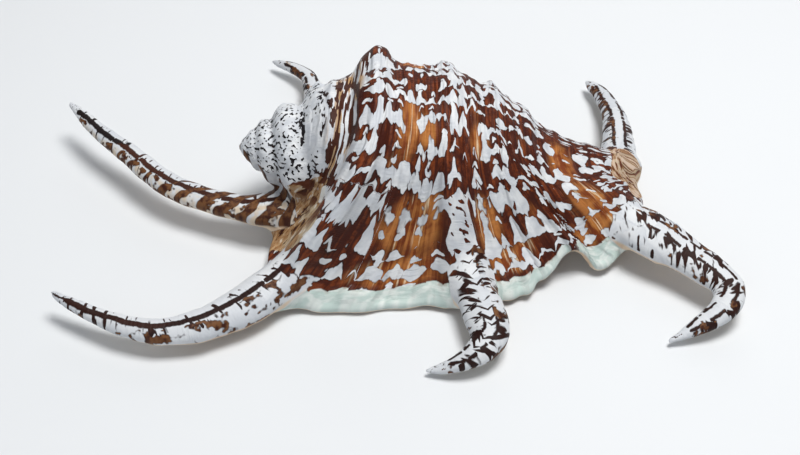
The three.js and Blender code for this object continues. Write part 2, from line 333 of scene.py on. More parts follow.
# Spire: the earlier whorls, low and blunt. Each whorl is 1.9 times the one before along the axis, steep from
# the suture to a knobbed shoulder and falling off slowly beyond it.
WHORL_STEP = 1.9
SUTURE_PHASE = 0.368
SPIRE_WIDTH = 1.653
SPIRE_TAPER = 0.72
SPIRE_LENGTH = 24
SPIRE_ROWS = 170
SPIRE_SIDES = 260


def spire_skin():
    """Rings along the axis: radius = width x along^taper x (1 + shoulder + knobs + ribs - suture), where the
    place in a whorl is the fraction of log(along) less the turn. Marks are the distance along and the turn's
    cosine and sine."""
    along, turn = np.meshgrid(
        0.05 + SPIRE_LENGTH * np.linspace(0, 1, SPIRE_ROWS) ** 1.5,
        np.linspace(0, 2 * math.pi, SPIRE_SIDES, endpoint=False),
        indexing="ij",
    )
    place = np.mod(np.log(along) / math.log(WHORL_STEP) - turn / (2 * math.pi) - SUTURE_PHASE, 1)
    shoulder = 0.27 * np.sin(math.pi * place**0.7)
    knobs = 0.045 * bell(place, 0.42, 0.17) * np.cos(12 * turn + 0.4)
    suture = 0.13 * (bell(place, 0, 0.07) + bell(place, 1, 0.07))
    ribs = 0.01 * np.cos(34 * turn + 3 * place) * np.sin(math.pi * place)
    radius = SPIRE_WIDTH * along**SPIRE_TAPER * (1 + shoulder + knobs + ribs - suture)
    x = APEX[0] + along
    rings = np.stack([x, 0 * x, axis_height(x)], -1) + outward(turn) * radius[..., None]
    return rings, np.stack([along, np.cos(turn), np.sin(turn)], -1)


spire = closed_mesh("spire", *spire_skin())

# Digits: six horns that the lip throws out where the ridges reach it, solid, bent, with a seam along the
# underside where each one closed. Each has its height over its width at tip and root, and rows from tip to
# root: x, y, z and width.
DIGITS = [
    ((0.85, 0.7), [
        [-104.5, 33, 14, 1.2], [-100.2, 28.2, 13.5, 3.4], [-92.6, 19.7, 13, 5.6], [-82, 10.2, 12, 7],
        [-71.8, 0.5, 11, 7.6], [-62.2, -5.5, 10.5, 8.2], [-47, -11.3, 10.5, 9], [-36, -12, 10.5, 13.5],
        [-20, -9, 12, 15],
    ]),
    ((0.85, 0.7), [
        [-96.4, -42.8, 9, 1.2], [-92.5, -45.6, 8.5, 3.2], [-82, -51, 7.5, 5.2], [-73, -54.3, 7, 6.8],
        [-64, -55.4, 6.5, 8.2], [-54.3, -53.2, 6.5, 10.2], [-46, -48.6, 6.7, 12], [-38, -42.5, 7.4, 13.5],
        [-30, -35, 9.5, 13], [-22, -26, 13, 11],
    ]),
    ((0.85, 0.75), [
        [6.7, -65.3, 2, 1.2], [10.7, -65, 2.5, 3.2], [14.9, -64.5, 4, 5.1], [19.2, -63, 5.5, 7.5],
        [22.6, -60.2, 6.5, 9.6], [24.2, -56.8, 7.2, 10.7], [22.5, -47, 7, 11.8], [20.3, -40, 7.6, 12],
        [15.5, -23, 17, 9],
    ]),
    ((0.8, 0.62), [
        [72.9, -55.2, 2, 1.2], [76.6, -53.9, 2.8, 2.8], [80.8, -51.9, 4, 4.8], [85.6, -49.6, 5.5, 6.8],
        [89.6, -46.4, 7, 8.3], [91.2, -42.6, 8, 9.2], [89.8, -38.2, 8.5, 10], [80.6, -29.2, 9.5, 12.4],
        [73.5, -23, 9.8, 15.5], [56, -9, 11, 14],
    ]),
    ((0.85, 0.85), [
        [61.8, 56.2, 4, 1.2], [64, 52.4, 4.5, 4], [66.5, 46, 5.5, 5.8], [68.3, 32, 8, 7.8],
        [67.6, 19.4, 9.6, 9.8], [66.5, 11, 10.5, 12], [64.5, 2, 11.5, 15], [57, -5, 12, 15],
    ]),
    ((0.85, 0.85), [
        [-43.5, 67.1, 4, 1.2], [-40.6, 64.8, 4.5, 3], [-36.4, 62.2, 5, 4], [-32.5, 58.6, 5.5, 4.8],
        [-29.6, 53.5, 6, 5.6], [-27.4, 40, 7.2, 7.4], [-25.5, 30, 9, 9], [-14, 8, 14, 14],
    ]),
]  # fmt: skip
DIGIT_APART = 300  # what the distance from the tip starts at grows by this from digit to digit
DIGIT_RINGS = 190
DIGIT_SIDES = 56


def digit_skin(number, heights, rows):
    """Ellipses across a curve through the rows, each upright and square to the way. Marks are the distance
    from the tip with the digit's number, and the places across and above the middle line."""
    rows = np.array(rows, float)
    t = np.linspace(0, len(rows) - 1, DIGIT_RINGS)
    line, girth = through(rows[:, :3], t), through(rows[:, 3:], t)
    ahead, behind = np.minimum(t + 0.01, t[-1]), np.maximum(t - 0.01, 0)
    way = unit(through(rows[:, :3], ahead) - through(rows[:, :3], behind))
    across = unit(np.cross([0, 0, 1], way))
    along = np.concatenate([[0], np.cumsum(np.linalg.norm(np.diff(line, axis=0), axis=1))])[:, None]
    turn = np.linspace(0, 2 * math.pi, DIGIT_SIDES, endpoint=False)[None]
    share = (t / t[-1])[:, None]
    rough = 0.035 * ripple(along * 0.09, turn * 0 + number * 7, 20 + number)
    rough = rough + 0.02 * ripple(along * 0.16, np.cos(turn) * 1.2, 30 + number)
    keel = 0.05 * bell(turn, math.pi / 2, 0.5)
    seam = 0.2 * bell(turn, 1.5 * math.pi, 0.22) * ease(along, 3, 12)
    round_tip = np.sqrt(np.clip(along / 0.9 + 0.05, 0, 1))
    half = girth / 2 * (1 + rough + keel - seam) * round_tip
    side = half * np.cos(turn)
    rise = half * np.sin(turn) * (heights[0] + (heights[1] - heights[0]) * share)
    rings = line[:, None] + across[:, None] * side[..., None]
    rings[..., 2] += rise
    return rings, np.stack([along + number * DIGIT_APART + 0 * side, side, rise], -1)


skins = [digit_skin(n, *digit) for n, digit in enumerate(DIGITS)]
digits = [closed_mesh(f"digit{n}", *skin) for n, skin in enumerate(skins)]

# Aperture: the hollow that the animal lived in, a long slit beside the belly that opens upwards into the last
# whorl. Rows give x, the middle across, the width and the height of the roof.
APERTURE_ROWS = np.array([
    [-36, -15, 3, 7], [-28, -14, 6, 12], [-18, -13, 8.5, 18], [-6, -12.5, 9.5, 24], [8, -12, 10, 25],
    [22, -11, 9.5, 22], [36, -9.5, 8.5, 16], [48, -7, 7, 12], [58, -3, 5, 9], [66, 4, 3, 6],
])  # fmt: skip
APERTURE_FLOOR = -8
APERTURE_LEAN = 0.3
APERTURE_RINGS = 90
APERTURE_SIDES = 48


def aperture_skin():
    """Upright ellipses along the rows, leaning towards the far side with height."""
    rows = through(APERTURE_ROWS, np.linspace(0, len(APERTURE_ROWS) - 1, APERTURE_RINGS))[:, None]
    turn = np.linspace(0, 2 * math.pi, APERTURE_SIDES, endpoint=False)[None]
    z = APERTURE_FLOOR + (rows[..., 3] - APERTURE_FLOOR) / 2 * (1 + np.sin(turn))
    y = rows[..., 1] + rows[..., 2] / 2 * np.cos(turn) + APERTURE_LEAN * np.maximum(z, 0)
    rings = np.stack([rows[..., 0] + 0 * z, y, z], -1)
    return rings, rings


aperture = closed_mesh("aperture", *aperture_skin())

# The shell grown together: the pieces are united, hollowed and skinned over at one fineness, the joins are
# filled as the lime fills them, and the lowest places are worn flat.
FINENESS = 0.00068  # metres
JOIN_ROUNDS = 40
JOIN_REACH = 4.0  # round the digits' roots the lime is smoothed this far, in mm
SPIRE_REACH, SPIRE_PULL = 1.2, 0.5  # and this far, less strongly, where the spire meets the body
LEAST_PULL = 0.015


def applied(piece, name):
    """A new object with the mesh that the piece's modifiers give."""
    shown = piece.evaluated_get(bpy.context.evaluated_depsgraph_get())
    result = bpy.data.objects.new(name, bpy.data.meshes.new_from_object(shown))
    bpy.context.scene.collection.objects.link(result)
    return result


def reader(sources):
    """Geometry nodes that give each vertex the attributes of every source at the nearest place on it."""
    tree = bpy.data.node_groups.new("nearest_places", "GeometryNodeTree")
    tree.interface.new_socket("Geometry", in_out="INPUT", socket_type="NodeSocketGeometry")
    tree.interface.new_socket("Geometry", in_out="OUTPUT", socket_type="NodeSocketGeometry")
    flow = tree.nodes.new("NodeGroupInput").outputs[0]
    for source, titles in sources:
        item = tree.nodes.new("GeometryNodeObjectInfo")
        item.inputs["Object"].default_value = source
        for title in titles:
            value = tree.nodes.new("GeometryNodeInputNamedAttribute")
            value.data_type = "FLOAT_VECTOR"
            value.inputs["Name"].default_value = title
            near = tree.nodes.new("GeometryNodeSampleNearestSurface")
            near.data_type = "FLOAT_VECTOR"
            keep = tree.nodes.new("GeometryNodeStoreNamedAttribute")
            keep.data_type = "FLOAT_VECTOR"
            keep.domain = "POINT"
            keep.inputs["Name"].default_value = title
            tree.links.new(item.outputs["Geometry"], near.inputs["Mesh"])
            tree.links.new(value.outputs["Attribute"], near.inputs["Value"])
            tree.links.new(near.outputs["Value"], keep.inputs["Value"])
            tree.links.new(flow, keep.inputs["Geometry"])
            flow = keep.outputs["Geometry"]
    tree.links.new(flow, tree.nodes.new("NodeGroupOutput").inputs[0])
    return tree


# All digits as one surface to read from, open at the ends.
horn_points = np.concatenate([rings.reshape(-1, 3) for rings, _ in skins])
horn_marks = np.concatenate([marks.reshape(-1, 3) for _, marks in skins])
horn_faces = strips(DIGIT_RINGS, DIGIT_SIDES)
horn_faces = np.concatenate([horn_faces + n * DIGIT_RINGS * DIGIT_SIDES for n in range(len(skins))])
digit_meshes = skinned("digits", horn_points, horn_marks, horn_faces.tolist())

for piece in [spire, *digits, aperture]:
    cut = body.modifiers.new(piece.name, "BOOLEAN")
    cut.operation = "DIFFERENCE" if piece is aperture else "UNION"
    cut.solver = "MANIFOLD"
    cut.object = piece
skin_over = body.modifiers.new("skin", "REMESH")
skin_over.mode = "VOXEL"
skin_over.voxel_size = FINENESS
rough_shell = applied(body, "rough_shell")
for cut in list(body.modifiers):
    body.modifiers.remove(cut)
fetch = rough_shell.modifiers.new("places", "NODES")
fetch.node_group = reader([
    (body, ["body_at", "body_marks"]),
    (digit_meshes, ["digits_at", "digits_marks"]),
    (spire, ["spire_at", "spire_marks"]),
])
shell = applied(rough_shell, "conch_shell")
for piece in [rough_shell, body, spire, digit_meshes, aperture, *digits]:
    bpy.data.objects.remove(piece)


def read(mesh, title):
    """A vector attribute of the mesh as an array."""
    values = np.empty(len(mesh.vertices) * 3, np.float32)
    mesh.attributes[title].data.foreach_get("vector", values)
    return values.reshape(-1, 3).astype(float)


mesh = shell.data
places = np.empty(len(mesh.vertices) * 3)
mesh.vertices.foreach_get("co", places)
places = places.reshape(-1, 3) * 1000 + MIDDLE
off_body, off_digits, off_spire = (
    np.linalg.norm(places - read(mesh, title), axis=1) for title in ("body_at", "digits_at", "spire_at")
)
pairs = np.empty(len(mesh.edges) * 2, np.int32)
mesh.edges.foreach_get("vertices", pairs)
pairs = pairs.reshape(-1, 2)
degree = np.bincount(pairs.ravel(), minlength=len(places))[:, None]


def relaxed(values):
    """Each value moved to the mean of its neighbours along the edges."""
    total = np.zeros_like(values)
    for k in range(values.shape[1]):
        total[:, k] = np.bincount(pairs[:, 0], values[pairs[:, 1], k], len(values))
        total[:, k] += np.bincount(pairs[:, 1], values[pairs[:, 0], k], len(values))
    return total / degree


pull = LEAST_PULL + (1 - LEAST_PULL) * bell(off_body + off_digits, 0, JOIN_REACH)
pull = np.maximum(pull, SPIRE_PULL * bell(off_body + off_spire, 0, SPIRE_REACH))[:, None]
for _ in range(JOIN_ROUNDS):
    places = places + pull * (relaxed(places) - places)
places[:, 2] = np.maximum(places[:, 2], 0)
mesh.vertices.foreach_set("co", ((places - MIDDLE) / 1000).ravel())
mesh.polygons.foreach_set("use_smooth", np.ones(len(mesh.polygons), bool))
mesh.update()

# Markings. Bands of white lime cross each turn, broken into lobes by the cords. Between them the lime is
# brown, nearly black at the edges of the white and caramel where the bands stand far apart. Each band is a
# line of points: station, run of growth, and half the share of the spacing that is white.
BANDS = [
    [(2.5, -0.3, 0.3), (4.6, -0.33, 0.38), (5.6, -0.3, 0.4), (6.4, -0.36, 0.2), (7, -0.28, 0.3),
     (8, -0.3, 0.4), (9.4, -0.27, 0.35), (11.2, -0.29, 0.4), (12, -0.2, 0.3), (13.2, -0.2, 0.35),
     (14.5, -0.2, 0.1), (15.3, -0.2, 0.3)],
    [(2.5, -0.18, 0.3), (3.8, -0.15, 0.4), (4.6, -0.16, 0.46), (5.3, -0.15, 0.25), (6.2, -0.18, 0.3),
     (6.9, -0.15, 0.28), (7.6, -0.12, 0.25), (8.5, -0.16, 0.42), (9.4, -0.13, 0.3), (10.1, -0.1, 0.3),
     (10.8, -0.12, 0.35), (11.6, -0.08, 0.3), (12.4, -0.06, 0.2), (13.4, -0.08, 0.4), (14.4, -0.06, 0.1),
     (15.3, -0.06, 0.3)],
    [(3, -0.07, 0.3), (4, -0.07, 0.42), (5, -0.06, 0.33), (5.6, -0.07, 0.22), (6.3, -0.03, 0.28),
     (7.4, -0.02, 0.25), (8, -0.05, 0.35), (8.8, -0.06, 0.35), (9.5, -0.04, 0.1), (10.6, -0.02, 0.25),
     (11.5, 0.02, 0.3), (12.3, 0.02, 0.3), (13.3, 0.05, 0.38), (14.4, 0.03, 0.15), (15.2, 0.06, 0.4)],
    [(3.3, 0.09, 0.3), (4.3, 0.06, 0.28), (5.1, 0.04, 0.3), (5.7, 0.12, 0.22), (6.6, 0.07, 0.25),
     (7.1, 0.05, 0.28), (7.8, 0.05, 0.3), (8.5, 0.07, 0.4), (9.2, 0.05, 0.32), (10.1, 0.06, 0.36),
     (10.9, 0.07, 0.4), (11.7, 0.14, 0.3), (12.5, 0.18, 0.25), (13.4, 0.14, 0.36), (14.5, 0.18, 0.1),
     (15.4, 0.25, 0.4)],
    [(3.3, 0.2, 0.4), (4.3, 0.19, 0.3), (5, 0.18, 0.15), (5.7, 0.2, 0.08), (6.5, 0.21, 0.3),
     (7.2, 0.22, 0.3), (7.9, 0.2, 0.3), (8.5, 0.19, 0.4), (9.1, 0.19, 0.36), (9.6, 0.24, 0.36),
     (10.2, 0.2, 0.33), (10.9, 0.17, 0.33), (11.6, 0.26, 0.3), (12.3, 0.28, 0.36), (13.3, 0.29, 0.36),
     (14.2, 0.3, 0.36), (15.5, 0.38, 0.4)],
    [(2.6, 0.33, 0.3), (3.4, 0.36, 0.42), (4.2, 0.34, 0.44), (5, 0.29, 0.42), (5.6, 0.31, 0.42),
     (6.2, 0.35, 0.42), (6.9, 0.39, 0.42), (7.5, 0.45, 0.38), (7.9, 0.46, 0.3), (8.4, 0.36, 0.3),
     (8.9, 0.32, 0.3), (9.5, 0.36, 0.12), (10.4, 0.33, 0.33), (11, 0.38, 0.36), (11.6, 0.42, 0.2),
     (12.4, 0.42, 0.36), (13.3, 0.4, 0.3), (14.4, 0.42, 0.2), (15.4, 0.48, 0.3)],
    [(3.2, 0.5, 0.4), (4, 0.5, 0.35), (4.4, 0.53, 0.36), (5, 0.45, 0.36), (5.5, 0.46, 0.33),
     (6.1, 0.52, 0.06), (7.2, 0.57, 0.1), (8.1, 0.52, 0.42), (8.7, 0.5, 0.48), (9.2, 0.46, 0.34),
     (10, 0.45, 0.34), (10.6, 0.48, 0.42), (11.4, 0.54, 0.42), (12, 0.56, 0.1), (13.3, 0.53, 0.36),
     (14.4, 0.55, 0.04), (15.2, 0.6, 0.2)],
    [(4.2, 0.68, 0.42), (4.8, 0.74, 0.34), (5.4, 0.69, 0.32), (6.1, 0.77, 0.2), (6.9, 0.76, 0.3),
     (7.7, 0.76, 0.3), (8.5, 0.72, 0.48), (9.3, 0.74, 0.3), (10.4, 0.75, 0.32), (11.2, 0.81, 0.34),
     (12, 0.88, 0.3), (13.3, 0.7, 0.2), (14.5, 0.72, 0.2), (15.4, 0.76, 0.4)],
    [(4.2, 0.85, 0.28), (5.2, 0.87, 0.25), (6.6, 0.86, 0.3), (7.7, 0.87, 0.25), (8.6, 0.87, 0.45),
     (9.6, 0.87, 0.22), (10.6, 0.91, 0.25), (12, 1.0, 0.2), (13.3, 0.84, 0.2), (15, 0.86, 0.3)],
]  # fmt: skip
BAND_SPACING = 0.115  # beyond the first and the last band
# Where the brown is caramel: station, growth, the two reaches and the strength.
CARAMEL = [
    (6.5, 0.59, 0.75, 0.13, 1.0), (5.9, 0.09, 0.5, 0.14, 0.95), (7.0, 0.12, 0.5, 0.08, 0.9),
    (9.5, 0.60, 0.5, 0.15, 1.0), (9.8, 0.14, 0.55, 0.09, 0.9), (7.4, 0.6, 0.5, 0.16, 0.7),
    (14.3, 0.12, 0.5, 0.2, 0.7), (14.3, 0.58, 0.8, 0.2, 0.6), (6.8, 0.86, 1.3, 0.07, 0.75),
    (10.0, 0.84, 0.9, 0.07, 0.8), (13.7, 0.8, 0.9, 0.08, 0.8), (11.4, 0.7, 0.5, 0.14, 0.4),
    (5.0, 0.28, 0.9, 0.06, 0.3), (9.6, -0.04, 0.5, 0.05, 0.45), (12.5, 0.1, 0.4, 0.1, 0.35),
]  # fmt: skip
# Where the pale rim begins: station and growth.
RIM = [
    (2.5, 1.2), (4.0, 0.97), (4.8, 0.94), (5.5, 0.925), (6.8, 0.915), (8.5, 0.92), (9.2, 0.92), (10, 0.94),
    (10.6, 0.96), (11.4, 0.975), (12.2, 0.99), (12.6, 0.9), (13.2, 0.87), (14, 0.89), (15, 0.93), (16, 1.1),
]  # fmt: skip
# The wrinkled tan hollow between the two left digits: where it begins down each station, and its side towards
# the back for each run of growth.
TAN_TOP = [(0, 0.72), (1, 0.62), (1.6, 0.52), (2.1, 0.42), (2.6, 0.37), (3.1, 0.52), (4, 0.56)]
TAN_SIDE = [(0.3, 2.8), (0.5, 3.2), (0.58, 3.9), (0.75, 3.9), (0.84, 3.6), (0.92, 3.2), (1.0, 2.9)]
# Where the white of the bands widens on the ridges: station, growth, the two reaches and how much.
WHITER = [(4.2, -0.3, 0.7, 0.3, 0.1), (8.4, -0.2, 0.45, 0.25, 0.16), (11.1, -0.3, 0.4, 0.2, 0.1)]
BACK_STARTS = -0.4  # beyond this growth, on the far side, every band has about the same share
BACK_SHARE = 0.3
KNOB_AT, KNOB_REACH, KNOB_BEND = 4.1, 0.9, 1.7  # behind the first knobs the bands bend by so many spacings
# The white stripe down to the front digit: a station, the growth there, stations per growth, half width.
STRIPE_AT, STRIPE_START, STRIPE_LEAN, STRIPE_HALF = 8.35, 0.45, 0.6, 0.42
# Where marks fade in, in mm: a digit's and the spire's by how much nearer they lie than the body, and the
# mouth's by the distance from all three.
DIGIT_EDGE = (-1.6, 1.2)
SPIRE_EDGE = (-0.5, 0.9)
MOUTH_EDGE = (0.3, 1.6)
MOUTH_Y, MOUTH_HALF = -9, 14
# The tan hollow at the far end, in mm: where it fades in along x, y from either side, and z.
FAR_X, FAR_NEAR_Y, FAR_FAR_Y, FAR_Z = (60, 64), (-10, -5), (11, 4), (6, 8)
FAR_UNEVEN = 2.2


def banding(station, growth):
    """Counts the bands: the phase grows by 1 from each band's line to the next. Also the white half share."""
    lines = [np.interp(station, *np.array(band).T[:2]) for band in BANDS]
    shares = [np.interp(station, *np.array(band).T[[0, 2]]) for band in BANDS]
    phase = np.minimum((growth - lines[0]) / BAND_SPACING, 0)
    share = shares[0].copy()
    for before, after, old, new in zip(lines, lines[1:], shares, shares[1:]):
        part = np.clip((growth - before) / np.maximum(after - before, 0.02), 0, 1)
        phase = phase + part
        share = share + (new - old) * part
    phase = phase + np.maximum((growth - lines[-1]) / BAND_SPACING, 0)
    return phase, share


def off_stripe(station, growth):
    """Stations from the middle of the white stripe: its middle is a straight line over growth."""
    return station - STRIPE_AT - STRIPE_LEAN * (growth - STRIPE_START)


station, growth, underside = read(mesh, "body_marks").T
phase, white_share = banding(station, growth)
phase = phase + KNOB_BEND * bell(station, KNOB_AT, KNOB_REACH) * ease(growth, -0.3, -0.5)
on_back = BACK_SHARE + 0.08 * ripple(station * 0.3, growth * 1.5, 40)
white_share = np.where(growth < BACK_STARTS, on_back, white_share)
for at, run, reach, spread, more in WHITER:
    white_share = white_share + more * bell(station, at, reach) * bell(growth, run, spread)
stripe = np.exp(-((off_stripe(station, growth) / STRIPE_HALF) ** 4))
white_share = white_share + 0.4 * stripe * ease(growth, 0.4, 0.5)
caramel = 0.8 * (growth < BACK_STARTS) * bell(station, 6.2, 0.7)
for at, run, reach, spread, strength in CARAMEL:
    caramel = caramel + strength * bell(station, at, reach) * bell(growth, run, spread)
past_rim = growth - np.interp(station, *np.array(RIM).T)

on_digit = ease(off_body - off_digits, *DIGIT_EDGE)
on_spire = ease(off_body - off_spire, *SPIRE_EDGE) * (1 - on_digit)
in_mouth = ease(np.minimum(np.minimum(off_body, off_spire), off_digits), *MOUTH_EDGE)
in_mouth = in_mouth * (np.abs(places[:, 1] - MOUTH_Y) < MOUTH_HALF)

from_top = growth - np.interp(station, *np.array(TAN_TOP).T)
from_side = np.interp(growth, *np.array(TAN_SIDE).T) - station
left_hollow = ease(from_top, -0.05, 0.12) * ease(from_side, -0.15, 0.15)
uneven = FAR_UNEVEN * ripple(places[:, 0] * 0.08, places[:, 2] * 0.1, 51, 6)
far_hollow = ease(places[:, 0] + uneven, *FAR_X) * ease(places[:, 2], *FAR_Z)
far_hollow = far_hollow * ease(places[:, 1] + uneven, *FAR_NEAR_Y) * ease(places[:, 1] + uneven, *FAR_FAR_Y)
on_digit = on_digit * (1 - far_hollow)
tan = np.clip(left_hollow + far_hollow, 0, 1)
dashed = ease(3.5 - station - 0.9 * (growth + 0.1), -0.15, 0.2) * (1 - tan)

for title in list(mesh.attributes.keys()):
    if title.endswith(("_at", "_marks")) and title not in ("digits_marks", "spire_marks"):
        mesh.attributes.remove(mesh.attributes[title])
for title, values in (
    ("growth", (station, growth, underside)),
    ("bands", (phase, white_share, np.clip(caramel, 0, 1))),
    ("zones", (on_digit, on_spire, in_mouth)),
    ("areas", (tan, dashed, past_rim)),
):
    store(mesh, title, np.stack(values, -1))

# Lime: the shell's one material, laid down in layers with the colours outermost. Math nodes work out each
# place's colour from the marks of its vertex; this class and these functions add the nodes.
lime = bpy.data.materials.new("shell_lime")
lime.use_nodes = True
nodes, links = lime.node_tree.nodes, lime.node_tree.links
shader = nodes["Principled BSDF"]


def feed(socket, value):
    """Gives a socket a value to follow or a plain number."""
    if isinstance(value, Value):
        links.new(value.socket, socket)
    else:
        socket.default_value = value


def operation(kind):
    """A function of values and numbers that adds one math node of a kind and gives its result."""

    def work(*values):
        node = nodes.new("ShaderNodeMath")
        node.operation = kind
        for socket, value in zip(node.inputs, values):
            feed(socket, value)
        return Value(node.outputs[0])

    return work


class Value:
    """A number in the material that is worked out at each place; arithmetic on it adds math nodes."""

    def __init__(self, socket):
        self.socket = socket

    __add__ = __radd__ = operation("ADD")
    __mul__ = __rmul__ = operation("MULTIPLY")
    __sub__ = operation("SUBTRACT")
    __truediv__ = operation("DIVIDE")
    __pow__ = operation("POWER")
    floor = operation("FLOOR")
    part = operation("FRACT")
    size = operation("ABSOLUTE")
    least = operation("MINIMUM")
    most = operation("MAXIMUM")
    cosine = operation("COSINE")
    logarithm = operation("LOGARITHM")
    angle = operation("ARCTAN2")

    def __rsub__(self, other):
        return self * -1 + other

    def cords(self):
        """A wave with one crest for each whole number."""
        return (self * 2 * math.pi).cosine()

    def lobe(self):
        """0 at each whole number and 1 halfway between."""
        return 1 - (2 * self.part() - 1).size()

    def rise(self, start, end):
        """Smoothly from 0 at start to 1 at end, which may be below start."""
        node = nodes.new("ShaderNodeMapRange")
        node.interpolation_type = "SMOOTHSTEP"
        links.new(self.socket, node.inputs["Value"])
        feed(node.inputs["From Min"], start)
        feed(node.inputs["From Max"], end)
        return Value(node.outputs["Result"])


def mark(title):
    """The three numbers of a vector attribute."""
    node = nodes.new("ShaderNodeAttribute")
    node.attribute_name = title
    split = nodes.new("ShaderNodeSeparateXYZ")
    links.new(node.outputs["Vector"], split.inputs[0])
    return [Value(out) for out in split.outputs]


def vector(*axes):
    """A vector of three values or numbers."""
    node = nodes.new("ShaderNodeCombineXYZ")
    for socket, value in zip(node.inputs, axes):
        feed(socket, value)
    return node.outputs[0]


def noise(x, y, z=0.0, detail=2.0, rough=0.5):
    """Smooth noise from 0 to 1, mostly near 0.5, in features about 1 across."""
    node = nodes.new("ShaderNodeTexNoise")
    node.inputs["Scale"].default_value = 1
    node.inputs["Detail"].default_value = detail
    node.inputs["Roughness"].default_value = rough
    links.new(vector(x, y, z), node.inputs["Vector"])
    return Value(node.outputs[0])


def chance(x, y, z=0.0):
    """A number from 0 to 1 that is the same wherever x, y and z are the same."""
    node = nodes.new("ShaderNodeTexWhiteNoise")
    links.new(vector(x, y, z), node.inputs["Vector"])
    return Value(node.outputs["Value"])


def mixed(share, first, second):
    """The first colour at share 0, the second at 1. A colour is three sRGB numbers up to 255, or a socket."""
    node = nodes.new("ShaderNodeMix")
    node.data_type = "RGBA"
    links.new(share.socket, node.inputs[0])
    for socket, colour in ((node.inputs[6], first), (node.inputs[7], second)):
        if isinstance(colour, tuple):
            levels = [((c / 255 + 0.055) / 1.055) ** 2.4 if c > 10 else c / 255 / 12.92 for c in colour]
            socket.default_value = (*levels, 1)
        else:
            links.new(colour, socket)
    return node.outputs[2]


# The marks. Growth is 0 on the crest, 1 at the lip and below 0 on the far side. Count is the bands' phase and
# share their white half share. Along, aside and above are mm.
station, growth, under = mark("growth")
count, share, amber = mark("bands")
on_horn, on_coil, in_mouth = mark("zones")
tan, dashed, past_rim = mark("areas")
along, aside, above = mark("digits_marks")
coil_along, coil_cosine, coil_sine = mark("spire_marks")

# Bands of the body. The cords divide it into lanes, and in each lane a band has a lobe of its own length. The
# lime is white where the lobe's reach less the distance from the band's line is above 0, and so it is with
# every value that has white in its name.
FINE_CORDS = 4.1  # fine cords in each station
FLANK = 6.2  # the left flank ends at this station
TRIANGLES_AT = 8.7  # station of the ridge where the bands turn to nested triangles
LOBE_CHANCE = 0.3  # how much luck lengthens or shortens a lobe, as a share of the spacing
ISLE_HALF = 0.5  # half width of a white isle in its lane
SPOT_LEVEL = 0.6  # a dark spot stands on the stripe where noise is above this

bent = 0.6 * noise(station * 0.9, count * 0.7, 5.0) + 0.22 * noise(station * 3.1, count * 0.9, 15.0)
sway = station + bent - 0.41
near_lip = (growth + 0.12 * noise(station * 2, 4.0)).rise(0.46, 0.47) * (5.7 - station).rise(0.0, 0.02)
flank = (FLANK - station).rise(0.0, 0.8) * growth.rise(0.0, 0.2)
lanes = sway * CORDS * (1 + 0.5 * near_lip)
lane = lanes.floor()
lobe = lanes.lobe()
fine_lanes = sway * FINE_CORDS + 0.37
fine_lobe = fine_lanes.lobe()

triangles = (station - TRIANGLES_AT).size().rise(1.0, 0.5) * growth.rise(0.5, 0.3)
zigzag = 0.42 * noise(station * 0.7, count * 0.8, 31.0).rise(0.4, 0.6) + 0.5 * triangles
swing = 0.7 * noise(station * 1.5, count * 0.9, 1.7) + 0.3 * noise(station * 4.4, count * 1.7, 2.7)
swing = count + swing - 0.5 + zigzag * (lobe - 0.5)
band = (swing + 0.5).floor()
off_band = swing - band
side = off_band.rise(-0.001, 0.001)
luck = chance(lane, band, side * 3.1)
fine_luck = chance(fine_lanes.floor(), band, side * 7.7)

reach = share - 0.085 + (luck - 0.5) * LOBE_CHANCE
reach = reach + (lobe**0.55 - 0.62) * (0.12 + 0.36 * luck) * (1 - 0.35 * flank)
reach = reach + (fine_luck - 0.5) * 0.06 + (fine_lobe**0.7 - 0.6) * 0.07
reach = reach + (0.8 - 0.2 * flank) * (noise(station * 2.7, growth * 12, 3.3, 1.0) - 0.5)
reach = reach - 0.4 * chance(lane, band, 9.5).rise(0.2, 0.16) * (0.44 - share).rise(0.0, 0.06)
white_body = reach - off_band.size()

# Isles: ellipses of white halfway between two bands, in about half of the lanes.
isle = ((2 * lanes.part() - 1) / ISLE_HALF) ** 2 + ((0.5 - off_band.size()) / (0.06 + 0.09 * luck)) ** 2
isle = (1 - isle) * 0.25 - chance(lane, swing.floor(), 4.1).rise(0.52, 0.48)
white_body = white_body.most(isle.least(0.2))

# The white stripe has dark spots, and a painted shade line along its right side, where the ridge steps down.
from_stripe = off_stripe(station, growth)
on_stripe = from_stripe.size().rise(0.46, 0.36) * growth.rise(0.42, 0.48)
spots = SPOT_LEVEL - noise(station * 3.4 + growth * 5, growth * 26 - station * 2, 21.0, 1.0)
spots = spots * 3 + (1 - on_stripe)
# A thin dark line of painted shade, standing for the shade that falls where the ridge steps down.
step_shade = ((from_stripe - 0.5).size() - 0.05 - 0.08 * noise(station, growth * 14, 6.6)) * 6
step_shade = step_shade + growth.rise(0.5, 0.42) + growth.rise(0.74, 0.8)
white_body = white_body.least(step_shade.least(spots).most(-0.2))

# Marks of the digits: a dark line on the first two and two lines on the others, with bars to the side, and
# brown patches low down. All in mm from the tip, from the middle line and above it. Digits count from 0.
LINE_APART = 1.75  # the twin lines stand so far from the middle
BAR_LEVEL = 0.54  # bars, strokes and patches stand where their noise is above their level
OBLIQUE_LEVEL = 0.545
PATCH_LEVEL = 0.55

number = (along / DIGIT_APART + 0.02).floor()
run = along - number * DIGIT_APART
first = (0.5 - number).rise(0.0, 0.1)
twin = number.rise(1.4, 1.6)
third = (number - 2).size().rise(0.5, 0.4)
fourth = (number - 3).size().rise(0.5, 0.4)
at_root = third * run.rise(22.0, 28.0) + fourth * run.rise(50.0, 58.0)

